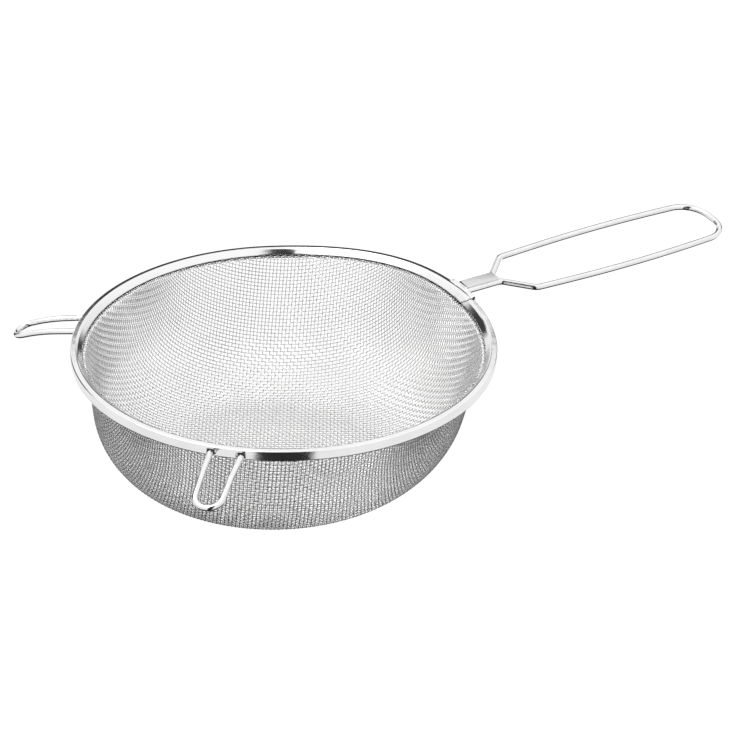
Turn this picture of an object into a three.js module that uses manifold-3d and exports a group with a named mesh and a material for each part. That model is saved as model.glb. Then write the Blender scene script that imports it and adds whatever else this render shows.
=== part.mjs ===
// Woven-wire kitchen strainer: a wire-cloth bowl clamped in a rolled rim band, with a bent-wire
// loop handle and two bent-wire rest hooks. Millimetres, +Z up. The origin is the middle of the
// flat underside of the bowl, and the handle points along +X.
import * as THREE from 'three';
import { mergeVertices } from 'three/addons/utils/BufferGeometryUtils.js';
import Module from 'manifold-3d';

const wasm = await Module();
wasm.setup();

// ---- driving dimensions -------------------------------------------------------------------

const BEAD_CIRCLE_RADIUS = 98.15;   // centre line of the rolled bead
const BEAD_HEIGHT = 61.9;           // centre line of the bead above the underside
const BEAD_RADIUS = 1.95;           // outside of the rolled bead
const STRIP_THICKNESS = 0.4;        // rim band sheet
const FLANGE_REACH = 5.0;           // the flanges reach this far in from the bead centre
const SKIRT_DROP = 2.9;             // lowest edge of the band below the bead centre
const HOOP_RADIUS = 1.2;            // stiffening hoop wire inside the bead

const CLOTH_THICKNESS = 0.8;        // two crossing wires of the cloth
const BRIM_THICKNESS = 0.7;         // the cloth edge, pressed flat between the flanges
const BRIM_DROP = 2.1;              // underside of that edge below the bead centre
const WALL_TOP_RADIUS = 92.9;       // outside of the cloth wall where it turns out to the brim
const WALL_TILT = 10.1;             // degrees from vertical
const CORNER_RADIUS = 39.2;         // wall to floor
const BOWL_OFFSET = 6.2;            // rim axis stands this far towards the handle from the floor's

const LIFT_HEIGHT = 2.6;            // the rim is sprung up beside the handle
const LIFT_AZIMUTH = 17;            // degrees from the handle
const LIFT_HALF_WIDTH = 46;         // degrees either side of that
const LIFT_FOOT = 25;               // the cloth wall takes up the lift above this height

const HANDLE_WIRE = 3.0;            // wire diameter
const HANDLE_START = 1.6;           // wire ends stand off the bead centre, clear of the hoop
const HANDLE_RISE = 2.0;            // wire centre above the unlifted bead centre at the rim
const HANDLE_ROLL = 6.5;            // degrees, with the rim's lift
const HANDLE_DROOP = 0.4;           // degrees below level
const NECK_SPACING = 5.8;           // between the two wire centres
const NECK_END = 23.6;              // distances along the handle start at the bead centre
const SHOULDER_END = 36.9;
const SHOULDER_HALF_WIDTH = 15.4;
const LEG_STAGGER = 1.3;            // the +Y leg is bent this much nearer the rim
const LEG_BOW = 3.3;                // the legs bow out past the shoulders by about this
const LEG_BOW_RADIUS = 760;
const LOOP_END = 158.3;
const LOOP_END_RADIUS = 14.0;

const PLATE_WIDTH = 6.6;            // reinforcing plate on top of the neck
const PLATE_THICKNESS = 0.8;
const PLATE_START = 1.6;
const PLATE_END = 22.6;

const HOOK_WIRE = 2.8;              // wire diameter
const HOOK_AZIMUTH = 135.8;           // degrees either side of the handle
const HOOK_ROOT_SPACING = 14.0;     // between the two wire centres at the rim
const HOOK_TIP_SPACING = 11.8;      // and where the end bend starts
const HOOK_LENGTH = 34.5;           // along the wire, from the bead centre to the tip
const HOOK_START = 1.75;
const HOOK_DROP = 1.36;             // wire centre below the bead centre at the rim
const HOOK_SLOPE = 8.2;             // degrees down where it leaves the rim
const HOOK_STRAIGHT = 11;           // then it bends down
const HOOK_BEND_RADIUS = 86.7;

const GAP = 0.3;                    // clearance between pieces that touch
const RING_SEGMENTS = 64;
const WIRE_SIDES = 10;
const BEND_STEP = 15;               // degrees of bend between stations of a wire

const rad = THREE.MathUtils.degToRad;

// ---- materials ----------------------------------------------------------------------------

function steel(name, color, roughness) {
  return new THREE.MeshStandardMaterial({ name, color, roughness, metalness: 1 });
}

const part = new THREE.Group();

function addMesh(name, geometry, material, parent = part) {
  const mesh = new THREE.Mesh(geometry, material);
  mesh.name = name;
  parent.add(mesh);
  return mesh;
}

// ---- solids -------------------------------------------------------------------------------

function toManifold(geometry) {
  const bare = geometry.clone();
  bare.deleteAttribute('normal');
  bare.deleteAttribute('uv');
  const merged = mergeVertices(bare, 1e-5);
  return new wasm.Manifold(new wasm.Mesh({
    numProp: 3,
    vertProperties: new Float32Array(merged.attributes.position.array),
    triVerts: new Uint32Array(merged.index.array),
  }));
}

function toGeometry(manifold) {
  const mesh = manifold.getMesh();
  const geometry = new THREE.BufferGeometry();
  geometry.setAttribute('position', new THREE.BufferAttribute(mesh.vertProperties, 3));
  geometry.setIndex(new THREE.BufferAttribute(mesh.triVerts, 1));
  geometry.computeVertexNormals();
  return geometry;
}

// A ring or bowl turned about Z from a profile of [radius, height] points.
function turned(profile, closed) {
  const points = profile.map(([r, z]) => new THREE.Vector2(r, z));
  if (closed) points.push(points[0].clone());
  const geometry = new THREE.LatheGeometry(points, RING_SEGMENTS);
  return geometry.rotateX(Math.PI / 2);
}

// Points of an arc, in degrees, ends included.
function arc(centreR, centreZ, radius, from, to, steps) {
  return Array.from({ length: steps + 1 }, (_, i) => {
    const a = rad(from + (to - from) * i / steps);
    return [centreR + radius * Math.cos(a), centreZ + radius * Math.sin(a)];
  });
}

// Height that the rim is sprung up by at an azimuth given in degrees.
function rimLift(azimuth) {
  const away = Math.abs(azimuth - LIFT_AZIMUTH) / LIFT_HALF_WIDTH;
  return away >= 1 ? 0 : LIFT_HEIGHT * Math.cos(rad(90 * away)) ** 2;
}

// Turned shapes are made about the floor's axis. This leans them over to the rim's axis and
// springs the rim up beside the handle.
function settle(geometry) {
  const p = geometry.attributes.position;
  const brim = BEAD_HEIGHT - BRIM_DROP;
  for (let i = 0; i < p.count; i++) {
    const azimuth = THREE.MathUtils.radToDeg(Math.atan2(p.getY(i), p.getX(i)));
    const z = p.getZ(i);
    const share = THREE.MathUtils.smoothstep(z, LIFT_FOOT, brim);
    p.setX(i, p.getX(i) + BOWL_OFFSET * Math.min(z / brim, 1));
    p.setZ(i, z + share * rimLift(azimuth));
  }
  geometry.computeVertexNormals();
  return geometry;
}

// A wire's centre line as a list of stations, one extrusion step between each two.
class WireCurve extends THREE.Curve {
  constructor(stations) {
    super();
    this.stations = stations;
  }

  getPoint(t) {
    const last = this.stations.length - 1;
    const i = Math.min(Math.floor(t * last + 1e-9), last - 1);
    return this.stations[i].clone().lerp(this.stations[i + 1], t * last - i);
  }

  getPointAt(u) {
    return this.getPoint(u);
  }

  getTangentAt(u) {
    const last = this.stations.length - 1;
    const i = Math.round(u * last);
    const before = this.stations[Math.max(i - 1, 0)];
    const here = this.stations[i];
    const after = this.stations[Math.min(i + 1, last)];
    const a = here.clone().sub(before).normalize();
    const b = after.clone().sub(here).normalize();
    return a.add(b).normalize();
  }
}

function wire(stations, diameter) {
  const section = new THREE.Shape(Array.from({ length: WIRE_SIDES }, (_, i) => {
    const a = 2 * Math.PI * i / WIRE_SIDES;
    return new THREE.Vector2(Math.cos(a), Math.sin(a)).multiplyScalar(diameter / 2);
  }));
  return new THREE.ExtrudeGeometry(section, {
    steps: stations.length - 1,
    extrudePath: new WireCurve(stations),
  });
}

// Rounds the inner corners of a flat route. Each corner is [x, y, bend radius].
function bent(corners) {
  const route = [];
  corners.forEach(([x, y, radius], i) => {
    const corner = new THREE.Vector2(x, y);
    if (!radius) {
      route.push(corner);
      return;
    }
    const back = new THREE.Vector2(corners[i - 1][0], corners[i - 1][1]).sub(corner).normalize();
    const ahead = new THREE.Vector2(corners[i + 1][0], corners[i + 1][1]).sub(corner).normalize();
    const half = Math.acos(THREE.MathUtils.clamp(back.dot(ahead), -1, 1)) / 2;
    const turn = Math.PI - 2 * half;
    const centre = corner.clone().addScaledVector(back.clone().add(ahead).normalize(),
      radius / Math.sin(half));
    const start = corner.clone().addScaledVector(back, radius / Math.tan(half)).sub(centre);
    const side = Math.sign(ahead.cross(back));
    const steps = Math.max(6, Math.ceil(turn / rad(BEND_STEP)));
    for (let k = 0; k <= steps; k++) {
      const p = start.clone().rotateAround(new THREE.Vector2(), side * turn * k / steps);
      route.push(p.add(centre));
    }
  });
  return route.filter((p, i) => i === 0 || p.distanceTo(route[i - 1]) > 0.01);
}

// ---- bowl and rim -------------------------------------------------------------------------

// Wire cloth pressed to a bowl with a flat floor, its edge turned out into the band.
function clothBowl() {
  const tilt = rad(WALL_TILT);
  const underBrim = BEAD_HEIGHT - BRIM_DROP;
  const wallTop = new THREE.Vector2(WALL_TOP_RADIUS, underBrim - 0.6);
  const arcRise = CORNER_RADIUS * (1 - Math.sin(tilt));
  const arcTop = new THREE.Vector2(wallTop.x - (wallTop.y - arcRise) * Math.tan(tilt), arcRise);
  const centreR = arcTop.x - CORNER_RADIUS * Math.cos(tilt);
  const brimEdge = BEAD_CIRCLE_RADIUS - 1.65;
  const overBrim = underBrim + BRIM_THICKNESS;
  const inner = CORNER_RADIUS - CLOTH_THICKNESS;
  return turned([
    [0, 0],
    ...arc(centreR, CORNER_RADIUS, CORNER_RADIUS, -90, -WALL_TILT, 9),
    [wallTop.x, wallTop.y],
    [wallTop.x + 0.5, underBrim],
    [brimEdge, underBrim],
    [brimEdge, overBrim],
    [wallTop.x - 0.3, overBrim],
    [wallTop.x - CLOTH_THICKNESS, overBrim - 0.5],
    ...arc(centreR, CORNER_RADIUS, inner, -WALL_TILT, -90, 9),
    [0, CLOTH_THICKNESS],
  ], false);
}

// Sheet strip rolled over the hoop, its two flanges clamping the edge of the cloth.
function rimBand() {
  const r = BEAD_CIRCLE_RADIUS;
  const z = BEAD_HEIGHT;
  const t = STRIP_THICKNESS;
  const tip = r - FLANGE_REACH;
  const low = z - SKIRT_DROP;
  return turned([
    [tip, z - 1.15],
    [tip, z - 1.15 + t],
    ...arc(r, z, BEAD_RADIUS, 192, -24, 14),
    [r + 1.55, low + 0.6],
    [r + 1.3, low + 0.15],
    [r + 0.8, low],
    [tip + 0.1, low + 0.15],
    [tip + 0.1, low + 0.15 + t],
    [r + 0.65, low + t],
    [r + 1.05, low + 0.65],
    ...arc(r, z, BEAD_RADIUS - t, -24, 206, 14),
  ].reverse(), true);
}

function hoop() {
  return turned(arc(BEAD_CIRCLE_RADIUS, BEAD_HEIGHT, HOOP_RADIUS, 0, 324, 9), true);
}

// ---- handle and hooks ---------------------------------------------------------------------

function handleStations() {
  const neck = NECK_SPACING / 2;
  const middle = (SHOULDER_END + LOOP_END) / 2;
  const leg = (side, stagger) => [
    [HANDLE_START, side * neck, 0],
    [NECK_END - stagger, side * neck, 5],
    [SHOULDER_END - stagger, side * SHOULDER_HALF_WIDTH, 6],
    [middle, side * (SHOULDER_HALF_WIDTH + LEG_BOW), LEG_BOW_RADIUS],
    [LOOP_END, side * SHOULDER_HALF_WIDTH, LOOP_END_RADIUS],
  ];
  return bent([...leg(1, LEG_STAGGER), ...leg(-1, 0).reverse()])
    .map((p) => new THREE.Vector3(p.x, p.y, 0));
}

// The hook is laid out flat, and then its length is wrapped down over a large radius.
function hookStations() {
  const root = HOOK_ROOT_SPACING / 2;
  const tip = HOOK_TIP_SPACING / 2;
  const flare = Math.atan2(root - tip, HOOK_LENGTH - HOOK_START);
  const endRadius = tip * Math.tan(Math.PI / 4 + flare / 2);
  const corners = [
    [HOOK_START, root, 0],
    [HOOK_LENGTH, tip, endRadius],
    [HOOK_LENGTH, -tip, endRadius],
    [HOOK_START, -root, 0],
  ];
  const flat = bent(corners);
  const legSteps = 8;
  const leg = (from, to) => Array.from({ length: legSteps - 1 }, (_, i) =>
    from.clone().lerp(to, (i + 1) / legSteps));
  const last = flat.length - 1;
  const route = [
    flat[0], ...leg(flat[0], flat[1]), ...flat.slice(1, last),
    ...leg(flat[last - 1], flat[last]), flat[last],
  ];
  return route.map((p) => {
    const slope = rad(HOOK_SLOPE);
    const straight = Math.min(p.x, HOOK_STRAIGHT);
    const turn = Math.max(p.x - HOOK_STRAIGHT, 0) / HOOK_BEND_RADIUS;
    const x = straight * Math.cos(slope)
      + HOOK_BEND_RADIUS * (Math.sin(slope + turn) - Math.sin(slope));
    const z = -straight * Math.sin(slope)
      - HOOK_BEND_RADIUS * (Math.cos(slope) - Math.cos(slope + turn));
    return new THREE.Vector3(x, p.y, z);
  });
}

// Frame on the bead circle at an azimuth: x runs outwards, y across, z up.
function rimFrame(azimuth, height) {
  const frame = new THREE.Group();
  const a = rad(azimuth);
  frame.position.set(BOWL_OFFSET + BEAD_CIRCLE_RADIUS * Math.cos(a),
    BEAD_CIRCLE_RADIUS * Math.sin(a), BEAD_HEIGHT + height);
  frame.rotation.set(0, 0, a);
  part.add(frame);
  return frame;
}

const handleFrame = rimFrame(0, HANDLE_RISE);
handleFrame.rotation.set(rad(HANDLE_ROLL), rad(HANDLE_DROOP), 0, 'YXZ');
const hookFrames = [-1, 1].map((side) => rimFrame(side * HOOK_AZIMUTH, -HOOK_DROP));

// Openings in the band where the handle and the hooks go in to the hoop.
function cutter(frame, width, bottom, top) {
  const depth = 4;
  const box = new THREE.BoxGeometry(depth, width, top - bottom);
  box.translate(0.9 + depth / 2, 0, (top + bottom) / 2);
  frame.updateMatrix();
  return box.applyMatrix4(frame.matrix);
}

function bandWithOpenings() {
  let band = toManifold(settle(rimBand()));
  const plateTop = HANDLE_WIRE / 2 + GAP + PLATE_THICKNESS;
  const slot = cutter(handleFrame, NECK_SPACING + HANDLE_WIRE + 2 * GAP,
    -HANDLE_WIRE / 2 - GAP, plateTop + GAP);
  band = band.subtract(toManifold(slot));
  for (const frame of hookFrames) {
    for (const side of [-1, 1]) {
      const notch = cutter(frame, HOOK_WIRE + 2 * GAP, -SKIRT_DROP, HOOK_WIRE / 2 + GAP);
      const along = new THREE.Vector3(-Math.sin(frame.rotation.z), Math.cos(frame.rotation.z), 0);
      along.multiplyScalar(side * HOOK_ROOT_SPACING / 2);
      notch.translate(along.x, along.y, 0);
      band = band.subtract(toManifold(notch));
    }
  }
  return toGeometry(band);
}

// ---- assembly -----------------------------------------------------------------------------

addMesh('mesh_bowl', settle(clothBowl()), steel('wire_cloth', 0xc9cbcd, 0.35));
addMesh('rim_band', bandWithOpenings(), steel('rim_steel', 0xe2e4e6, 0.12));
addMesh('rim_hoop_wire', settle(hoop()), steel('hoop_steel', 0xb8babd, 0.4));

const handleSteel = steel('wire_steel', 0xe0e2e4, 0.18);
addMesh('handle_wire', wire(handleStations(), HANDLE_WIRE), handleSteel, handleFrame);

const plateGeometry = new THREE.BoxGeometry(PLATE_END - PLATE_START, PLATE_WIDTH, PLATE_THICKNESS);
const plate = addMesh('handle_plate', plateGeometry, steel('plate_steel', 0xd4d6d8, 0.3),
  handleFrame);
plate.position.set((PLATE_START + PLATE_END) / 2, 0,
  HANDLE_WIRE / 2 + GAP + PLATE_THICKNESS / 2);

['left_rest_hook', 'right_rest_hook'].forEach((name, i) => {
  addMesh(name, wire(hookStations(), HOOK_WIRE), steel(`${name}_steel`, 0xe0e2e4, 0.18),
    hookFrames[i]);
});

export default part;
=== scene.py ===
"""Woven-wire strainer: cloth of crossing wires, a rolled rim, a bent-wire handle and rest hooks."""
import math

import bmesh
import bpy
import numpy as np
from mathutils import Matrix, Vector


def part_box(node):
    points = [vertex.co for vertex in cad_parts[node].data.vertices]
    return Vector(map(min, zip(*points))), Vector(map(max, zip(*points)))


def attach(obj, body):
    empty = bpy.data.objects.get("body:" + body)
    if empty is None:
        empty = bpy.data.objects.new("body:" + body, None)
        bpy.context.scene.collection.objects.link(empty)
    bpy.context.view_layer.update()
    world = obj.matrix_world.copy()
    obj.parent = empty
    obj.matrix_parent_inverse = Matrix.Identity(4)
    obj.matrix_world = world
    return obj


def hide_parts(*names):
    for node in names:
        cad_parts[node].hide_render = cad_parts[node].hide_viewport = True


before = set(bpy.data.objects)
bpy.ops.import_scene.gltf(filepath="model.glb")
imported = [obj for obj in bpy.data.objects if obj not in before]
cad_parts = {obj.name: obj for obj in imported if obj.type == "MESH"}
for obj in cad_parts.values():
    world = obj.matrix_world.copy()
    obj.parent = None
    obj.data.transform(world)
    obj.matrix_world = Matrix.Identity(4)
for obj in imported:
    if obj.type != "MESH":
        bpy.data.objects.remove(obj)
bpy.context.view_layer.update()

MM = 0.001

# ---- sizes, in millimetres ----------------------------------------------------------------

hoop_low, hoop_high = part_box("rim_hoop_wire")
CAD_HOOP_RADIUS = 1.2
HOOP_CIRCLE_RADIUS = (hoop_high[0] - hoop_low[0]) / MM / 2 - CAD_HOOP_RADIUS
HOOP_HEIGHT = hoop_low[2] / MM + CAD_HOOP_RADIUS
BOWL_OFFSET = (hoop_high[0] + hoop_low[0]) / MM / 2     # the floor's centre is the origin

# rim, in the hoop's section: x outwards and z up from the hoop's centre
STRIP_THICKNESS = 0.4
STRIP_OUTLINE = [             # middle of the strip: x, z, bend radius
    (-3.82, -1.06, 0),        # edge of the inner slope
    (-1.7, 0.98, 0.45),
    (-0.9, 1.55, 0.8),
    (1.48, 1.36, 0.4),        # outer edge of the domed top
    (1.55, -3.6, 0.7),
    (-0.9, -2.4, 0.9),
    (-4.3, -2.4, 0),          # edge of the lip under the cloth
]
HOOP_RADIUS = 1.15
HOOP_SIDES = 12
JOINT_AZIMUTH = -7.5          # where the strip's outer end stops
JOINT_OVERLAP = 1.7           # degrees that the inner end runs on underneath
JOINT_STEP = 0.7              # the outer end springs this far out
JOINT_BLEND = 14.0            # degrees over which it settles back
JOINT_SLANT = 2.2             # degrees that the end slants on the inner slope
JOINT_SLANT_BLEND = 6.0       # degrees over which the slant dies away
SLANT_REACH = (2.0, 5.0)      # it grows over this distance inwards
JOINT_RINGS = 60
RIM_RINGS = 500
SWELL = 1.5                   # the strip swells over the handle's root
SWELL_WAY = (0.3, 1.0)        # outwards and up
SWELL_FLAT = 2.6              # degrees either side of the handle with the full swelling
SWELL_END = 4.6               # degrees to where it has died away
SWELL_AT_JOINT = 0.5          # share of it that is left along the outer end
SWELL_HEIGHT = (-0.6, 0.6)    # it sets in over these heights
SWELL_REACH = (0.7, 1.5)      # and over this distance outwards

# wire cloth
CLOTH_WIRE = 0.42             # diameter
PITCH = 1.79                  # between neighbouring wires
CLOTH_AZIMUTH = 57.65         # direction of the warp
FLOOR_RADIUS = 49.52
CORNER_RADIUS = 39.2
WALL_TILT = 10.1              # degrees from upright
BRIM_DROP = 1.8               # the cloth's edge turns outwards this far below the hoop's centre
BRIM_FOLD = 0.8
BRIM_LENGTH = 2.4
STEPS_PER_CROSSING = 4
CLOTH_SIDES = 6
CLOTH_PIECES = 5              # each way

# the rim stands a little higher beside the handle
LIFT_HEIGHT = 2.6
LIFT_AZIMUTH = 17.0
LIFT_HALF_WIDTH = 46.0        # degrees
LIFT_FOOT = 25.0              # the wall follows it from this height up
LIFT_TOP = HOOP_HEIGHT - 2.1

# handle, measured outwards from the hoop's circle
HANDLE_WIRE = 3.0
HANDLE_START = 1.6
HANDLE_RISE = 2.0             # above the hoop's centre
HANDLE_ROLL = 6.5             # degrees about its own length
HANDLE_DROOP = 0.4            # degrees
NECK_SPACING = 5.8
NECK_END = 23.6
NECK_BEND = 5.0
SHOULDER_END = 36.9
SHOULDER_BEND = 6.0
SHOULDER_HALF_WIDTH = 15.4
LEG_STAGGER = 1.3             # the +Y leg is bent this much nearer the rim
LEG_BOW = 3.3
LEG_BOW_RADIUS = 760
LOOP_END = 158.3
LOOP_END_RADIUS = 14.0

# plate on the handle's legs
PLATE_WIDTH = 6.6
PLATE_THICKNESS = 0.8
PLATE_START = 3.2
PLATE_END = 22.6
PLATE_CORNER = 1.1
PLATE_SINK = 0.05             # the plate is pressed this far on to the legs
PLATE_EDGE = 0.22

# rest hooks
HOOK_WIRE = 2.8
HOOK_AZIMUTH = 135.8
HOOK_ROOT_SPACING = 14.0
HOOK_TIP_SPACING = 11.8
HOOK_LENGTH = 34.5
HOOK_START = 1.3
HOOK_DROP = 1.36              # below the hoop's centre
HOOK_SLOPE = 8.2              # degrees
HOOK_STRAIGHT = 11.0
HOOK_BEND_RADIUS = 86.7

WIRE_SIDES = 28
WIRE_UV_SCALE = 0.1           # per millimetre of length
CLOTH_UV_MARGIN = 0.08        # each side of a wire's strip

# cut-outs in the strip
FIT = 0.3                     # clearance round a wire
HANDLE_SLOT_START = 1.9       # from the hoop's circle outwards
HANDLE_SLOT_GAP = 0.6         # over the plate
HOOK_SLOT_START = 0.9
HOOK_SLOT_BOTTOM = -4.0
SLOT_DEPTH = 4.0
SLOT_CORNER = 0.7

# ---- camera -------------------------------------------------------------------------------

CAMERA_AZIMUTH = -30.85
CAMERA_ELEVATION = 29.0
CAMERA_DISTANCE = 1207.245
CAMERA_ROLL = 0.27
CAMERA_YAW = -1.864
CAMERA_PITCH = 0.53
LENS = 125.86

rim_centre = Vector((BOWL_OFFSET, 0, HOOP_HEIGHT)) * MM


def camera_back():
    a = math.radians(CAMERA_AZIMUTH)
    e = math.radians(CAMERA_ELEVATION)
    return Vector((math.sin(a) * math.cos(e), -math.cos(a) * math.cos(e), math.sin(e)))


def make_camera():
    data = bpy.data.cameras.new("camera")
    data.sensor_width = 36.0
    data.lens = LENS
    data.clip_start = 0.05
    data.clip_end = 20.0
    camera = bpy.data.objects.new("camera", data)
    bpy.context.scene.collection.objects.link(camera)
    back = camera_back()
    right = Vector((0, 0, 1)).cross(back).normalized()
    look = Matrix((right, back.cross(right), back))
    turn = (
        Matrix.Rotation(-math.radians(CAMERA_YAW), 3, "Y")
        @ Matrix.Rotation(math.radians(CAMERA_PITCH), 3, "X")
        @ Matrix.Rotation(math.radians(CAMERA_ROLL), 3, "Z")
    )
    place = rim_centre + back * CAMERA_DISTANCE * MM
    camera.matrix_world = Matrix.Translation(place) @ (turn @ look).transposed().to_4x4()
    bpy.context.scene.camera = camera


# ---- shader maths -------------------------------------------------------------------------


class Value:
    """A number on a node's socket. Sums and products of values add Math nodes."""

    def __init__(self, tree, socket):
        self.tree = tree
        self.socket = socket

    def math(self, operation, *others):
        node = self.tree.nodes.new("ShaderNodeMath")
        node.operation = operation
        for slot, item in zip(node.inputs, (self, *others)):
            join(self.tree, slot, item)
        return Value(self.tree, node.outputs[0])

    def reflected(self, operation, other):
        node = self.tree.nodes.new("ShaderNodeMath")
        node.operation = operation
        join(self.tree, node.inputs[0], other)
        join(self.tree, node.inputs[1], self)
        return Value(self.tree, node.outputs[0])

    def __add__(self, other):
        return self.math("ADD", other)

    def __sub__(self, other):
        return self.math("SUBTRACT", other)

    def __mul__(self, other):
        return self.math("MULTIPLY", other)

    def __truediv__(self, other):
        return self.math("DIVIDE", other)

    def __pow__(self, other):
        return self.math("POWER", other)

    def __radd__(self, other):
        return self.reflected("ADD", other)

    def __rsub__(self, other):
        return self.reflected("SUBTRACT", other)

    def __rmul__(self, other):
        return self.reflected("MULTIPLY", other)

    def __rtruediv__(self, other):
        return self.reflected("DIVIDE", other)


def join(tree, slot, item):
    """Gives a node's input a link or a plain value."""
    if isinstance(item, Value):
        tree.links.new(item.socket, slot)
    elif isinstance(item, bpy.types.NodeSocket):
        tree.links.new(item, slot)
    else:
        slot.default_value = item


class Nodes:
    """Builds one node tree."""

    def __init__(self, tree):
        self.tree = tree
        tree.nodes.clear()

    def add(self, kind, settings=None, inputs=None, output=0):
        node = self.tree.nodes.new(kind)
        for name, setting in (settings or {}).items():
            if name == "stops":
                set_stops(node.color_ramp, setting)
            else:
                setattr(node, name, setting)
        for name, item in (inputs or {}).items():
            join(self.tree, node.inputs[name], item)
        if output is None:
            return node
        return Value(self.tree, node.outputs[output])

    def step(self, value, start, end, low=0.0, high=1.0):
        """Runs smoothly from low to high as value goes from start to end."""
        return self.add(
            "ShaderNodeMapRange",
            {"interpolation_type": "SMOOTHSTEP"},
            {"Value": value, 1: start, 2: end, 3: low, 4: high},
        )

    def between(self, value, rise, fall):
        """One between two soft edges, each given by its start and end."""
        return self.step(value, *rise) * (1.0 - self.step(value, *fall))

    def vector(self, x, y, z):
        return self.add("ShaderNodeCombineXYZ", {}, {"X": x, "Y": y, "Z": z})

    def parts(self, vector):
        node = self.add("ShaderNodeSeparateXYZ", {}, {"Vector": vector}, None)
        return [Value(self.tree, out) for out in node.outputs]

    def noise(self, vector, scale, detail=2.0, roughness=0.5):
        return self.add(
            "ShaderNodeTexNoise",
            {"noise_dimensions": "3D"},
            {"Vector": vector, "Scale": scale, "Detail": detail, "Roughness": roughness},
        )

    def blend(self, factor, first, second):
        """Mixes two colours."""
        node = self.add("ShaderNodeMix", {"data_type": "RGBA"}, {}, None)
        join(self.tree, node.inputs[0], factor)
        join(self.tree, node.inputs[6], first)
        join(self.tree, node.inputs[7], second)
        return Value(self.tree, node.outputs[2])


def set_stops(ramp, stops):
    while len(ramp.elements) < len(stops):
        ramp.elements.new(1.0)
    for element, (place, colour) in zip(ramp.elements, stops):
        element.position = place
        element.color = colour


def grey(level, tint=0.0):
    """A steel colour, a little warm or cool by the tint."""
    return (level * (1 + tint), level, level * (1 - tint), 1.0)


def new_material(name):
    material = bpy.data.materials.new(name)
    material.use_nodes = True
    return material, Nodes(material.node_tree)


def finish_steel(nodes, colour, roughness, height, bump_depth):
    bump = nodes.add(
        "ShaderNodeBump", {}, {"Height": height, "Strength": 1.0, "Distance": bump_depth}
    )
    shader = nodes.add(
        "ShaderNodeBsdfPrincipled",
        {},
        {"Base Color": colour, "Roughness": roughness, "Metallic": 1.0, "Normal": bump},
    )
    nodes.add("ShaderNodeOutputMaterial", {}, {"Surface": shader}, None)


def wire_steel(name, light, dark, low, high, draw_depth):
    """Bright drawn wire: faint lines along its length, and slow changes of polish."""
    material, nodes = new_material(name)
    uv = nodes.add("ShaderNodeUVMap", {"uv_map": "wire"})
    along, around, _ = nodes.parts(uv)
    place = nodes.add("ShaderNodeTexCoord", {}, {}, "Object")
    lines = nodes.noise(nodes.vector(along * 6.0, around * 60.0, 0.0), 1.0, 3.0, 0.65)
    slow = nodes.noise(place, 90.0, 2.0)
    patches = nodes.noise(place, 420.0, 2.0)
    wear = nodes.step(slow * 0.6 + patches * 0.4, 0.38, 0.66)
    drawn = nodes.step(lines, 0.35, 0.7)
    colour = nodes.blend(wear * 0.65 + drawn * 0.35, grey(dark, 0.004), grey(light, -0.002))
    roughness = low + (high - low) * (1.0 - wear) + drawn * 0.03
    finish_steel(nodes, colour, roughness, lines, draw_depth)
    return material


def band_steel():
    """Bright rolled strip: fine lines round the rim, faint waviness from the rolling."""
    material, nodes = new_material("rim_polished_strip")
    place = nodes.add("ShaderNodeTexCoord", {}, {}, "Object")
    x, y, z = nodes.parts(place)
    x = x - BOWL_OFFSET * MM
    radius = (x * x + y * y) ** 0.5
    turn = y.math("ARCTAN2", x)
    lines = nodes.noise(
        nodes.vector(radius * 9000.0, z * 9000.0, turn * 5.0), 1.0, 3.0, 0.6
    )
    wave = nodes.noise(nodes.vector(radius * 260.0, z * 260.0, turn * 14.0), 1.0, 1.0)
    slow = nodes.noise(place, 60.0, 3.0)
    drawn = nodes.step(lines, 0.35, 0.68)
    wear = nodes.step(slow, 0.36, 0.66)
    colour = nodes.blend(wear * 0.6 + drawn * 0.4, grey(0.86, 0.003), grey(0.93, -0.002))
    roughness = 0.05 + drawn * 0.035 + (1.0 - wear) * 0.04
    finish_steel(nodes, colour, roughness, wave * 0.85 + lines * 0.15, 0.00006)
    return material


def plate_steel():
    """Satin sheet, brushed along the handle, with a painted dark shadow line across its root where
    it leaves the rim.
    """
    material, nodes = new_material("satin_plate_steel")
    place = nodes.add("ShaderNodeTexCoord", {}, {}, "Object")
    x, y, z = nodes.parts(place)
    grain = nodes.noise(nodes.vector(x * 160.0, y * 4200.0, z * 4200.0), 1.0, 4.0, 0.65)
    slow = nodes.noise(place, 240.0, 2.0)
    brushed = nodes.step(grain, 0.34, 0.68)
    satin = nodes.blend(brushed * 0.7 + slow * 0.3, grey(0.66, 0.004), grey(0.8))
    start = (BOWL_OFFSET + HOOP_CIRCLE_RADIUS + PLATE_START) * MM
    # painted shadow: a near-black band across the plate's root stands in for the dark gap where it
    # comes out of the rim
    painted_root_shadow = 1.0 - nodes.step(x, start + 0.4 * MM, start + 0.55 * MM)
    colour = nodes.blend(painted_root_shadow, satin, grey(0.02))
    finish_steel(nodes, colour, 0.26 + brushed * 0.12, grain, 0.00003)
    return material


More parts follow.
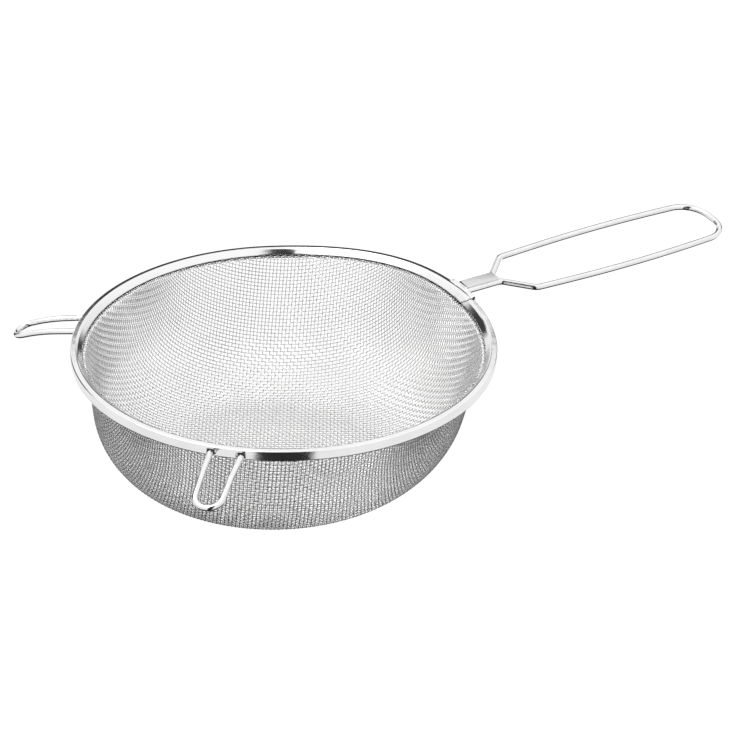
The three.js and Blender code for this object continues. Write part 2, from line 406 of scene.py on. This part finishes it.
def cloth_steel():
    """Fine drawn wire, less even than the heavy wire, with painted shade darkening its outer and
    lower sides.
    """
    material, nodes = new_material("wire_cloth_steel")
    place = nodes.add("ShaderNodeTexCoord", {}, {}, "Object")
    slow = nodes.noise(place, 45.0, 3.0)
    fine = nodes.noise(place, 1600.0, 2.0)
    wear = nodes.step(slow, 0.35, 0.68)
    spots = nodes.step(fine, 0.3, 0.7)
    facing = nodes.add("ShaderNodeNewGeometry", {}, {}, "Normal")
    nx, ny, nz = nodes.parts(facing)
    px, py, _ = nodes.parts(place)
    px = px - BOWL_OFFSET * MM
    reach = (px * px + py * py) ** 0.5 + 0.001
    outward = (nx * px + ny * py) / reach - nz * 0.7
    # painted shade: wire faces turned outwards or downwards get a much darker copy of the steel
    # colour than faces turned in and up
    painted_outer_shade = nodes.step(outward, -0.2, 0.7)
    lit_cloth_colour = nodes.blend(wear * 0.5 + spots * 0.5, grey(0.72, 0.004), grey(0.9))
    shaded_cloth_colour = nodes.blend(wear * 0.5 + spots * 0.5, grey(0.2, 0.004), grey(0.34))
    colour = nodes.blend(painted_outer_shade, lit_cloth_colour, shaded_cloth_colour)
    roughness = 0.2 + (1.0 - wear) * 0.08 + (1.0 - spots) * 0.06
    finish_steel(nodes, colour, roughness, fine, 0.00002)
    return material


# ---- meshes -------------------------------------------------------------------------------


def add_piece(name, mesh, material, slot, *nodes_replaced):
    piece = bpy.data.objects.new(name, mesh)
    bpy.context.scene.collection.objects.link(piece)
    mesh.materials.clear()
    mesh.materials.append(material)
    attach(piece, "root")
    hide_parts(*nodes_replaced)
    return piece


def ring_faces(rings, sides):
    """Quads of a tube as an array of vertex numbers, ring by ring."""
    i = np.arange(rings - 1)[:, None]
    j = np.arange(sides)[None, :]
    k = (j + 1) % sides
    quads = np.stack([i * sides + j, i * sides + k, (i + 1) * sides + k, (i + 1) * sides + j], -1)
    return quads.reshape(-1, 4)


def smooth_mesh(name, points, faces):
    mesh = bpy.data.meshes.new(name)
    mesh.from_pydata(points.tolist(), [], faces)
    mesh.polygons.foreach_set("use_smooth", [True] * len(mesh.polygons))
    mesh.update()
    return mesh


def ramp(values, start, end):
    """Runs from zero to one as the values go from start to end."""
    return np.clip((values - start) / (end - start), 0, 1)


def settle(points):
    """Leans turned shapes to the rim's axis and springs the rim up beside the handle."""
    azimuth = np.degrees(np.arctan2(points[:, 1], points[:, 0]))
    height = points[:, 2]
    away = np.abs(azimuth - LIFT_AZIMUTH) / LIFT_HALF_WIDTH
    lift = np.where(away < 1, LIFT_HEIGHT * np.cos(np.radians(90 * np.minimum(away, 1))) ** 2, 0)
    share = ramp(height, LIFT_FOOT, LIFT_TOP)
    moved = points.copy()
    moved[:, 0] += BOWL_OFFSET * np.minimum(height / LIFT_TOP, 1)
    moved[:, 2] += share * share * (3 - 2 * share) * lift
    return moved


def arc(centre, radius, start, end, steps):
    turn = np.radians(np.linspace(start, end, steps + 1))
    return np.column_stack([centre[0] + radius * np.cos(turn), centre[1] + radius * np.sin(turn)])


def bent(corners, step=4.0):
    """Rounds the inner corners of a flat route. Each corner is (x, y, bend radius)."""
    route = []
    for i, (x, y, radius) in enumerate(corners):
        corner = Vector((x, y))
        if not radius:
            route.append(corner)
            continue
        back = (Vector(corners[i - 1][:2]) - corner).normalized()
        ahead = (Vector(corners[i + 1][:2]) - corner).normalized()
        half = back.angle(ahead) / 2
        turn = math.pi - 2 * half
        centre = corner + (back + ahead).normalized() * (radius / math.sin(half))
        start = corner + back * (radius / math.tan(half)) - centre
        side = 1 if ahead.x * back.y - ahead.y * back.x > 0 else -1
        steps = max(8, math.ceil(math.degrees(turn) / step))
        for k in range(steps + 1):
            route.append(centre + Matrix.Rotation(side * turn * k / steps, 2) @ start)
    kept = [route[0]]
    for p in route[1:]:
        if (p - kept[-1]).length > 0.01:
            kept.append(p)
    return np.array([tuple(p) for p in kept])


def filled(route, spacing):
    """Adds points along a route's long straight stretches."""
    out = [route[0]]
    for a, b in zip(route[:-1], route[1:]):
        count = max(1, math.ceil(np.linalg.norm(b - a) / spacing))
        out.extend(a + (b - a) * k / count for k in range(1, count + 1))
    return np.array(out)


def tube_mesh(name, path, radius, sides, closed=False):
    """Round wire along a path, with domed ends, and its length and girth as a UV map."""
    path = np.asarray(path, float)
    if closed:
        ahead = np.roll(path, -1, 0) - np.roll(path, 1, 0)
    else:
        ahead = np.gradient(path, axis=0)
    ahead /= np.linalg.norm(ahead, axis=1)[:, None]
    side = np.zeros_like(path)
    seed = np.array([0.0, 0.0, 1.0])
    for i, tangent in enumerate(ahead):
        seed = seed - tangent * seed.dot(tangent)
        seed /= np.linalg.norm(seed)
        side[i] = seed
    up = np.cross(ahead, side)
    reach = np.full(len(path), radius)
    if not closed:
        dome = np.radians([90, 72, 54, 36, 18])
        lead, scale = radius * 0.25 * np.sin(dome), radius * np.cos(dome)
        scale[0] = radius * 0.05
        head = path[0] - ahead[0] * lead[:, None]
        tail = path[-1] + ahead[-1] * lead[::-1, None]
        path = np.vstack([head, path, tail])
        side = np.vstack([np.repeat(side[:1], 5, 0), side, np.repeat(side[-1:], 5, 0)])
        up = np.vstack([np.repeat(up[:1], 5, 0), up, np.repeat(up[-1:], 5, 0)])
        reach = np.concatenate([scale, reach, scale[::-1]])
    turn = 2 * np.pi * np.arange(sides) / sides
    ring = np.cos(turn)[None, :, None] * side[:, None] + np.sin(turn)[None, :, None] * up[:, None]
    points = (path[:, None] + reach[:, None, None] * ring).reshape(-1, 3)
    rings = len(path)
    faces = ring_faces(rings, sides).tolist()
    length = np.concatenate([[0], np.cumsum(np.linalg.norm(np.diff(path, axis=0), axis=1))])
    if closed:
        last = (rings - 1) * sides
        faces += [[last + j, last + (j + 1) % sides, (j + 1) % sides, j] for j in range(sides)]
    mesh = smooth_mesh(name, points * MM, faces)
    layer = mesh.uv_layers.new(name="wire")
    along = np.empty((len(faces), 4, 2))
    ring_of = np.arange(len(faces)) // sides
    side_of = np.arange(len(faces)) % sides
    start = length[ring_of]
    end = np.append(length, length[-1] + 1)[ring_of + 1]
    for corner, (far, on) in enumerate(((0, 0), (0, 1), (1, 1), (1, 0))):
        along[:, corner, 0] = (end if far else start) * WIRE_UV_SCALE
        along[:, corner, 1] = (side_of + on) / sides
    layer.data.foreach_set("uv", along.ravel())
    if not closed:
        builder = bmesh.new()
        builder.from_mesh(mesh)
        bmesh.ops.holes_fill(builder, edges=builder.edges, sides=0)
        builder.to_mesh(mesh)
        builder.free()
    return mesh


# ---- rim ----------------------------------------------------------------------------------


def offset_line(line, distance):
    """The line moved sideways, to its left."""
    ahead = np.gradient(line, axis=0)
    ahead /= np.linalg.norm(ahead, axis=1)[:, None]
    return line + distance * np.column_stack([-ahead[:, 1], ahead[:, 0]])


def swelling(turn):
    """How far the strip swells at an angle from the handle. It stays swollen to its outer end."""
    fade = (abs(turn) - SWELL_FLAT) / (SWELL_END - SWELL_FLAT)
    swell = SWELL * math.cos(math.radians(90 * min(1, max(0, fade)))) ** 2
    return max(swell, SWELL * SWELL_AT_JOINT) if turn < 0 else swell


def strip_section(line, turn, since_joint):
    """The strip's closed section at an angle round the rim, with the angle of each point."""
    t = min(since_joint / JOINT_BLEND, 1)
    out = JOINT_STEP * (1 - t * t * (3 - 2 * t))
    top = offset_line(line, out + STRIP_THICKNESS / 2)
    under = offset_line(line, out - STRIP_THICKNESS / 2)
    section = np.vstack([top, under[::-1]])
    outer_top = ramp(section[:, 1], *SWELL_HEIGHT) * ramp(section[:, 0], *SWELL_REACH)
    section = section + swelling(turn) * outer_top[:, None] * np.array(SWELL_WAY)
    slant = JOINT_SLANT * max(0, 1 - since_joint / JOINT_SLANT_BLEND)
    slant = slant * ramp(-section[:, 0], *SLANT_REACH)
    return section, np.radians(turn + slant)


def rim_band_mesh():
    """The strip swept round the rim. Its outer end laps over its inner one beside the handle."""
    line = filled(bent(STRIP_OUTLINE, 6), 0.5)
    first = JOINT_AZIMUTH
    last = JOINT_AZIMUTH + 360 + JOINT_OVERLAP
    turns = np.concatenate([
        np.linspace(first, first + JOINT_BLEND, JOINT_RINGS),
        np.linspace(first + JOINT_BLEND, last, RIM_RINGS)[1:],
    ])
    rings = []
    for turn in turns:
        section, a = strip_section(line, turn, turn - first)
        r = HOOP_CIRCLE_RADIUS + section[:, 0]
        rings.append(np.column_stack([r * np.cos(a), r * np.sin(a), HOOP_HEIGHT + section[:, 1]]))
    points = settle(np.vstack(rings))
    sides = len(line) * 2
    faces = ring_faces(len(turns), sides).tolist()
    for base in (0, (len(turns) - 1) * sides):
        cap = [[base + i, base + i + 1, base + sides - 2 - i, base + sides - 1 - i]
               for i in range(len(line) - 1)]
        faces += cap if base else [quad[::-1] for quad in cap]
    mesh = smooth_mesh("rim_band_strip", points * MM, faces)
    builder = bmesh.new()
    builder.from_mesh(mesh)
    bmesh.ops.recalc_face_normals(builder, faces=builder.faces)
    builder.to_mesh(mesh)
    builder.free()
    return mesh


def rim_place(azimuth, height):
    """Frame on the hoop's circle: x runs outwards, y across, z up."""
    a = math.radians(azimuth)
    spot = Vector((
        BOWL_OFFSET + HOOP_CIRCLE_RADIUS * math.cos(a),
        HOOP_CIRCLE_RADIUS * math.sin(a),
        HOOP_HEIGHT + height,
    ))
    return Matrix.Translation(spot) @ Matrix.Rotation(a, 4, "Z")


def handle_place():
    roll = Matrix.Rotation(math.radians(HANDLE_ROLL), 4, "X")
    droop = Matrix.Rotation(math.radians(HANDLE_DROOP), 4, "Y")
    return rim_place(0, HANDLE_RISE) @ droop @ roll


def placed(points, place):
    return np.array([tuple(place @ Vector(p)) for p in points])


def cutter(place, start, middle, width, bottom, top):
    """A block with rounded corners that opens the strip from outside."""
    builder = bmesh.new()
    bmesh.ops.create_cube(builder, size=1)
    scale = Matrix.Diagonal((SLOT_DEPTH, width, top - bottom, 1))
    shift = Matrix.Translation((start + SLOT_DEPTH / 2, middle, (top + bottom) / 2))
    bmesh.ops.transform(builder, matrix=shift @ scale, verts=builder.verts)
    edges = [e for e in builder.edges if abs(e.verts[0].co.x - e.verts[1].co.x) > 1]
    bmesh.ops.bevel(
        builder, geom=edges, offset=SLOT_CORNER, segments=5, affect="EDGES", profile=0.5)
    bmesh.ops.transform(builder, matrix=Matrix.Scale(MM, 4) @ place, verts=builder.verts)
    mesh = bpy.data.meshes.new("cutter")
    builder.to_mesh(mesh)
    builder.free()
    block = bpy.data.objects.new("cutter", mesh)
    bpy.context.scene.collection.objects.link(block)
    return block


def cut(mesh, blocks):
    """Takes the blocks out of the mesh and removes them."""
    body = bpy.data.objects.new("cut_body", mesh)
    bpy.context.scene.collection.objects.link(body)
    for block in blocks:
        modifier = body.modifiers.new("cut", "BOOLEAN")
        modifier.operation = "DIFFERENCE"
        modifier.solver = "EXACT"
        modifier.object = block
    bpy.context.view_layer.update()
    done = bpy.data.meshes.new_from_object(
        body.evaluated_get(bpy.context.evaluated_depsgraph_get())
    )
    for item in (body, *blocks):
        bpy.data.objects.remove(item)
    return done


def make_rim(steel, hoop_steel):
    slot_half = NECK_SPACING / 2 + HANDLE_WIRE / 2 + FIT
    slot_top = HANDLE_WIRE / 2 + PLATE_THICKNESS + HANDLE_SLOT_GAP
    slot_bottom = -HANDLE_WIRE / 2 - FIT
    blocks = [
        cutter(handle_place(), HANDLE_SLOT_START, 0, 2 * slot_half, slot_bottom, slot_top)
    ]
    for side in (-1, 1):
        place = rim_place(side * HOOK_AZIMUTH, -HOOK_DROP)
        for leg in (-1, 1):
            blocks.append(cutter(
                place,
                HOOK_SLOT_START,
                leg * HOOK_ROOT_SPACING / 2,
                HOOK_WIRE + 2 * FIT,
                HOOK_SLOT_BOTTOM,
                HOOK_WIRE / 2 + FIT,
            ))
    band = cut(rim_band_mesh(), blocks)
    band.name = "rim_band_strip"
    add_piece("rim_band_strip", band, steel, "polished_strip", "rim_band")
    circle = arc((0, 0), HOOP_CIRCLE_RADIUS, 0, 359, 359)
    path = settle(np.column_stack([circle, np.full(len(circle), HOOP_HEIGHT)]))
    hoop = tube_mesh("rim_hoop", path, HOOP_RADIUS, HOOP_SIDES, closed=True)
    add_piece("rim_hoop", hoop, hoop_steel, "hoop_wire", "rim_hoop_wire")


# ---- handle and hooks ---------------------------------------------------------------------


def handle_route():
    neck = NECK_SPACING / 2
    middle = (SHOULDER_END + LOOP_END) / 2

    def leg(side, stagger):
        return [
            (HANDLE_START, side * neck, 0),
            (NECK_END - stagger, side * neck, NECK_BEND),
            (SHOULDER_END - stagger, side * SHOULDER_HALF_WIDTH, SHOULDER_BEND),
            (middle, side * (SHOULDER_HALF_WIDTH + LEG_BOW), LEG_BOW_RADIUS),
            (LOOP_END, side * SHOULDER_HALF_WIDTH, LOOP_END_RADIUS),
        ]

    flat = filled(bent(leg(1, LEG_STAGGER) + leg(-1, 0)[::-1]), 1.5)
    return np.column_stack([flat, np.zeros(len(flat))])


def hook_route():
    root, tip = HOOK_ROOT_SPACING / 2, HOOK_TIP_SPACING / 2
    flare = math.atan2(root - tip, HOOK_LENGTH - HOOK_START)
    end_radius = tip * math.tan(math.pi / 4 + flare / 2)
    flat = filled(bent([
        (HOOK_START, root, 0),
        (HOOK_LENGTH, tip, end_radius),
        (HOOK_LENGTH, -tip, end_radius),
        (HOOK_START, -root, 0),
    ]), 0.8)
    slope = math.radians(HOOK_SLOPE)
    straight = np.minimum(flat[:, 0], HOOK_STRAIGHT)
    turn = np.maximum(flat[:, 0] - HOOK_STRAIGHT, 0) / HOOK_BEND_RADIUS
    x = straight * math.cos(slope) + HOOK_BEND_RADIUS * (np.sin(slope + turn) - math.sin(slope))
    z = -straight * math.sin(slope) - HOOK_BEND_RADIUS * (math.cos(slope) - np.cos(slope + turn))
    return np.column_stack([x, flat[:, 1], z])


def plate_mesh():
    """Sheet lying on the two legs, with softened edges and rounded outer corners."""
    builder = bmesh.new()
    outline = bent([
        (PLATE_START, -PLATE_WIDTH / 2, 0),
        (PLATE_END, -PLATE_WIDTH / 2, PLATE_CORNER),
        (PLATE_END, PLATE_WIDTH / 2, PLATE_CORNER),
        (PLATE_START, PLATE_WIDTH / 2, 0),
    ], 15)
    low = HANDLE_WIRE / 2 - PLATE_SINK
    face = builder.faces.new([builder.verts.new((x, y, low)) for x, y in outline])
    top = bmesh.ops.extrude_face_region(builder, geom=[face])
    raised = [v for v in top["geom"] if isinstance(v, bmesh.types.BMVert)]
    bmesh.ops.translate(builder, verts=raised, vec=(0, 0, PLATE_THICKNESS))
    bmesh.ops.recalc_face_normals(builder, faces=builder.faces)
    rims = [e for e in builder.edges if abs(e.verts[0].co.z - e.verts[1].co.z) < 0.01]
    bmesh.ops.bevel(
        builder, geom=rims, offset=PLATE_EDGE, segments=4, affect="EDGES", profile=0.5)
    bmesh.ops.transform(
        builder, matrix=Matrix.Scale(MM, 4) @ handle_place(), verts=builder.verts)
    mesh = bpy.data.meshes.new("neck_plate")
    builder.to_mesh(mesh)
    builder.free()
    mesh.shade_smooth()
    mesh.set_sharp_from_angle(angle=math.radians(40))
    return mesh


def make_handle(steel, satin):
    path = placed(handle_route(), handle_place())
    add_piece("handle_loop", tube_mesh("handle_loop", path, HANDLE_WIRE / 2, WIRE_SIDES),
              steel, "polished_wire", "handle_wire")
    add_piece("neck_plate", plate_mesh(), satin, "satin_plate", "handle_plate")


def make_hooks(steel):
    for name, side in (("left", -1), ("right", 1)):
        path = placed(hook_route(), rim_place(side * HOOK_AZIMUTH, -HOOK_DROP))
        mesh = tube_mesh(f"{name}_hook", path, HOOK_WIRE / 2, WIRE_SIDES)
        add_piece(f"{name}_hook", mesh, steel, "polished_wire", f"{name}_rest_hook")


# ---- wire cloth ---------------------------------------------------------------------------


class BowlSurface:
    """Middle of the cloth as a turned surface, by distance along it from the floor's centre."""

    def __init__(self):
        tilt = math.radians(WALL_TILT)
        self.bend = CORNER_RADIUS - CLOTH_WIRE
        corner_turn = math.pi / 2 - tilt
        arc_top_z = CORNER_RADIUS - self.bend * math.sin(tilt)
        fold_z = HOOP_HEIGHT - BRIM_DROP - BRIM_FOLD * (1 - math.sin(tilt))
        wall = (fold_z - arc_top_z) / math.cos(tilt)
        lengths = [FLOOR_RADIUS, self.bend * corner_turn, wall,
                   BRIM_FOLD * corner_turn, BRIM_LENGTH]
        self.length = sum(lengths)
        s, r, z, angle = [0.0], [0.0], [CLOTH_WIRE], [0.0]
        turns = [0, corner_turn, 0, -corner_turn, 0]
        counts = [2, 120, 2, 24, 2]
        for length, turn, count in zip(lengths, turns, counts):
            for _ in range(count):
                ds = length / count
                middle = angle[-1] + turn / count / 2
                r.append(r[-1] + ds * math.cos(middle))
                z.append(z[-1] + ds * math.sin(middle))
                s.append(s[-1] + ds)
                angle.append(angle[-1] + turn / count)
        self.s, self.r, self.z, self.angle = map(np.array, (s, r, z, angle))

    def point(self, flat):
        """Flat coordinates hold the distance from the centre and the direction."""
        s = np.hypot(flat[..., 0], flat[..., 1])
        safe = np.maximum(s, 1e-9)
        way = flat / safe[..., None]
        r = np.interp(s, self.s, self.r)
        z = np.interp(s, self.s, self.z)
        return np.concatenate([way * r[..., None], z[..., None]], -1)

    def normal(self, flat):
        s = np.hypot(flat[..., 0], flat[..., 1])
        way = flat / np.maximum(s, 1e-9)[..., None]
        angle = np.interp(s, self.s, self.angle)
        return np.concatenate([-way * np.sin(angle)[..., None], np.cos(angle)[..., None]], -1)


def next_knot(surface, back, left, corner):
    """The knot at one pitch from each of two neighbours, by Newton's method, many at once."""
    flat = back + left - corner
    a, b = surface.point(back), surface.point(left)
    nudge = 1e-4
    for _ in range(7):
        p = surface.point(flat)
        fault = np.stack([np.linalg.norm(p - a, axis=-1), np.linalg.norm(p - b, axis=-1)], -1)
        fault -= PITCH
        slopes = []
        for axis in (0, 1):
            moved = flat.copy()
            moved[..., axis] += nudge
            q = surface.point(moved)
            d = np.stack([np.linalg.norm(q - a, axis=-1), np.linalg.norm(q - b, axis=-1)], -1)
            slopes.append((d - PITCH - fault) / nudge)
        jacobian = np.stack(slopes, -1)
        step = np.linalg.solve(jacobian, fault[..., None])[..., 0]
        reach = np.linalg.norm(step, axis=-1, keepdims=True)
        flat = flat - step * np.minimum(1, 0.6 / np.maximum(reach, 1e-9))
    return flat


def quarter_net(surface):
    """Knots of one quarter of the cloth, with wires crossing at one pitch along both."""
    count = int(surface.length / PITCH) + 3
    knots = np.full((count, count, 2), np.nan)
    for i in range(count):
        knots[i, 0] = (i * PITCH, 0)
        knots[0, i] = (0, i * PITCH)
    for total in range(2, 2 * count - 1):
        i = np.arange(max(1, total - count + 1), min(total, count))
        j = total - i
        keep = np.isfinite(knots[i - 1, j, 0]) & np.isfinite(knots[i, j - 1, 0])
        keep &= np.isfinite(knots[i - 1, j - 1, 0])
        i, j = i[keep], j[keep]
        if not len(i):
            break
        found = next_knot(surface, knots[i - 1, j], knots[i, j - 1], knots[i - 1, j - 1])
        far = np.hypot(found[:, 0], found[:, 1]) > surface.length + 1.6 * PITCH
        found[far] = np.nan
        knots[i, j] = found
    return knots


def wire_knots(knots, row):
    """One wire's knots in order, from end to end, and the number of its middle knot."""
    line = knots[:, abs(row)].copy()
    line = line[: np.argmax(~np.isfinite(line[:, 0]))] if np.isnan(line[:, 0]).any() else line
    line[:, 1] *= 1 if row >= 0 else -1
    mirrored = line[:0:-1] * np.array([-1, 1])
    return np.vstack([mirrored, line]), len(line) - 1


def cut_to_length(flat, numbers, limit):
    """Ends a wire where it reaches the edge of the cloth."""
    s = np.hypot(flat[:, 0], flat[:, 1])
    inside = np.nonzero(s < limit)[0]
    if len(inside) < 4:
        return None
    a, b = inside[0], inside[-1]
    out, places = [flat[a : b + 1]], [numbers[a : b + 1]]
    if a > 0:
        t = (limit - s[a]) / (s[a - 1] - s[a])
        out.insert(0, (flat[a] + (flat[a - 1] - flat[a]) * t)[None])
        places.insert(0, [numbers[a] - t])
    if b < len(flat) - 1:
        t = (limit - s[b]) / (s[b + 1] - s[b])
        out.append((flat[b] + (flat[b + 1] - flat[b]) * t)[None])
        places.append([numbers[b] + t])
    return np.vstack(out), np.concatenate(places)


def woven_wire(surface, knots, row, swap, spin):
    """Centre line of one wire, weaving over and under, and the cloth's normal along it."""
    line, middle = wire_knots(knots, row)
    numbers = np.arange(len(line)) - middle
    trimmed = cut_to_length(line, numbers.astype(float), surface.length)
    if trimmed is None:
        return None
    line, numbers = trimmed
    fine = np.arange(math.ceil(numbers[0] * STEPS_PER_CROSSING),
                     math.floor(numbers[-1] * STEPS_PER_CROSSING) + 1) / STEPS_PER_CROSSING
    fine = np.concatenate([[numbers[0]], fine, [numbers[-1]]])
    fine = fine[np.concatenate([[True], np.diff(fine) > 0.05])]
    flat = np.column_stack([np.interp(fine, numbers, line[:, k]) for k in (0, 1)])
    flat = eased(flat)
    if swap:
        flat = flat[:, ::-1]
    c, s = math.cos(spin), math.sin(spin)
    flat = flat @ np.array([[c, s], [-s, c]])
    normal = surface.normal(flat)
    side = -1 if swap else 1
    weave = side * (-1) ** row * np.cos(np.pi * fine) * CLOTH_WIRE / 2
    return surface.point(flat) + normal * weave[:, None], normal


def eased(flat):
    """Takes the small corners out of a wire where it passes a knot."""
    soft = flat.copy()
    soft[1:-1] = flat[1:-1] * 0.5 + (flat[:-2] + flat[2:]) * 0.25
    return soft


def cloth_mesh(name, wires):
    """Joins a batch of wires in one mesh, each a closed tube with its own strip of UV space."""
    points, faces, uvs = [], [], []
    base = 0
    longest = max(len(path) for path, _ in wires)
    turn = 2 * np.pi * np.arange(CLOTH_SIDES) / CLOTH_SIDES
    for number, (path, normal) in enumerate(wires):
        path = settle(path)
        ahead = np.gradient(path, axis=0)
        ahead /= np.linalg.norm(ahead, axis=1)[:, None]
        up = normal - ahead * (normal * ahead).sum(1)[:, None]
        up /= np.linalg.norm(up, axis=1)[:, None]
        side = np.cross(up, ahead)
        ring = np.cos(turn)[None, :, None] * side[:, None]
        ring = ring + np.sin(turn)[None, :, None] * up[:, None]
        points.append((path[:, None] + CLOTH_WIRE / 2 * ring).reshape(-1, 3))
        rings = len(path)
        quads = ring_faces(rings, CLOTH_SIDES)[:, ::-1]
        faces.append(quads + base)
        ring_of = np.arange(len(quads)) // CLOTH_SIDES
        side_of = np.arange(len(quads)) % CLOTH_SIDES
        share = 1 - 2 * CLOTH_UV_MARGIN
        uv = np.empty((len(quads), 4, 2))
        for corner, (far, on) in enumerate(((1, 0), (1, 1), (0, 1), (0, 0))):
            uv[:, corner, 0] = (ring_of + far) / longest
            across = share * (side_of + on) / CLOTH_SIDES
            uv[:, corner, 1] = (number + CLOTH_UV_MARGIN + across) / len(wires)
        uvs.append(uv.reshape(-1, 2))
        base += rings * CLOTH_SIDES
    ends = []
    start = 0
    for path, _ in wires:
        last = start + (len(path) - 1) * CLOTH_SIDES
        ends.append(list(range(start, start + CLOTH_SIDES)))
        ends.append(list(range(last, last + CLOTH_SIDES))[::-1])
        start = last + CLOTH_SIDES
    quads = np.vstack(faces)
    mesh = smooth_mesh(name, np.vstack(points) * MM, quads.tolist() + ends)
    flat_ends = np.zeros((len(ends) * CLOTH_SIDES, 2)) + 0.0005
    layer = mesh.uv_layers.new(name="OFBake")
    layer.data.foreach_set("uv", np.vstack(uvs + [flat_ends]).ravel())
    return mesh


def make_cloth(steel):
    surface = BowlSurface()
    knots = quarter_net(surface)
    reach = int(surface.length / PITCH)
    spin = math.radians(CLOTH_AZIMUTH)
    for name, swap in (("warp", False), ("weft", True)):
        wires = [woven_wire(surface, knots, row, swap, spin) for row in range(-reach, reach + 1)]
        wires = [wire for wire in wires if wire is not None]
        share = sum(len(path) for path, _ in wires) / CLOTH_PIECES
        batches, size = [[] for _ in range(CLOTH_PIECES)], 0
        for wire in wires:
            batches[min(int(size / share), CLOTH_PIECES - 1)].append(wire)
            size += len(wire[0])
        for number, batch in enumerate(batches, 1):
            mesh = cloth_mesh(f"{name}_wires_{number}", batch)
            add_piece(f"{name}_wires_{number}", mesh, steel, "wire_cloth", "mesh_bowl")


# ---- studio -------------------------------------------------------------------------------


def make_floor():
    """Pale floor that fades to a plain ground, with only a faint shadow under the bowl."""
    mesh = bpy.data.meshes.new("floor")
    half = 6.0
    mesh.from_pydata([(-half, -half, 0), (half, -half, 0), (half, half, 0), (-half, half, 0)],
                     [], [(0, 1, 2, 3)])
    floor = bpy.data.objects.new("floor", mesh)
    bpy.context.scene.collection.objects.link(floor)
    material, nodes = new_material("pale_floor")
    diffuse = nodes.add("ShaderNodeBsdfDiffuse", {}, {"Color": grey(0.1)})
    glow = nodes.add("ShaderNodeEmission", {}, {"Color": grey(1.0), "Strength": 0.95})
    both = nodes.add("ShaderNodeAddShader", {}, {0: diffuse, 1: glow})
    nodes.add("ShaderNodeOutputMaterial", {}, {"Surface": both}, None)
    mesh.materials.append(material)
    floor.visible_glossy = False


def make_world():
    """Soft white tent, open in front, with dark walls behind near the horizon and dark below."""
    world = bpy.data.worlds.new("studio")
    bpy.context.scene.world = world
    world.use_nodes = True
    nodes = Nodes(world.node_tree)
    way = nodes.add("ShaderNodeTexCoord", {}, {}, "Generated")
    x, y, z = nodes.parts(way)
    back = camera_back()
    flat = math.hypot(back.x, back.y)
    cx, cy = back.x / flat, back.y / flat
    toward = x * cx + y * cy
    across = y * cx - x * cy
    turn = across.math("ARCTAN2", toward)
    angle = turn.math("ABSOLUTE")
    ragged = nodes.noise(nodes.vector(z * 3.0, turn * 2.0, 0.0), 1.0, 2.0) * 0.06
    opening = (1.0 - nodes.step(angle + ragged, 0.27, 0.3)) * (1.0 - nodes.step(z, 0.93, 0.98))
    sideways = across / (across * across + toward * toward + 0.0001) ** 0.5
    behind = nodes.step(angle, 1.6, 1.75)
    foot = (-0.46, -0.38)
    far_wall = nodes.between(sideways, (-0.3, -0.15), (0.2, 0.3))
    far_wall = far_wall * nodes.between(z, foot, (0.44, 0.475))
    left_wall = nodes.between(sideways, (-0.92, -0.86), (-0.6, -0.52))
    left_wall = left_wall * nodes.between(z, foot, (0.43, 0.48))
    right_wall = nodes.between(sideways, (0.28, 0.36), (0.62, 0.7))
    right_wall = right_wall * nodes.between(z, foot, (0.1, 0.25))
    walls = behind * (far_wall + left_wall + right_wall)
    under = 0.06 + 0.94 * nodes.step(z, -0.7, -0.58)
    sky = 0.9 + 0.18 * nodes.step(z, 0.1, 0.9)
    light = sky * (1.0 - opening * 0.97) * (1.0 - walls * 0.95) * under
    background = nodes.add(
        "ShaderNodeBackground", {}, {"Color": nodes.vector(light, light, light), "Strength": 1.0}
    )
    nodes.add("ShaderNodeOutputWorld", {}, {"Surface": background}, None)


def make_lamp():
    data = bpy.data.lights.new("overhead_softbox", "AREA")
    data.shape = "DISK"
    data.size = 1.2
    data.energy = 12.0
    lamp = bpy.data.objects.new("overhead_softbox", data)
    lamp.location = (-0.5, 0.35, 1.6)
    aim = rim_centre - Vector(lamp.location)
    lamp.rotation_mode = "QUATERNION"
    lamp.rotation_quaternion = aim.to_track_quat("-Z", "Y")
    bpy.context.scene.collection.objects.link(lamp)


# ---- assembly -----------------------------------------------------------------------------

make_camera()
make_floor()
make_world()
make_lamp()
bpy.context.scene.view_settings.view_transform = "Standard"

heavy_wire = wire_steel("polished_wire_steel", 0.93, 0.84, 0.05, 0.12, 0.00001)
hidden_wire = wire_steel("hoop_wire_steel", 0.4, 0.25, 0.35, 0.5, 0.00001)
make_rim(band_steel(), hidden_wire)
make_handle(heavy_wire, plate_steel())
make_hooks(heavy_wire)
make_cloth(cloth_steel())
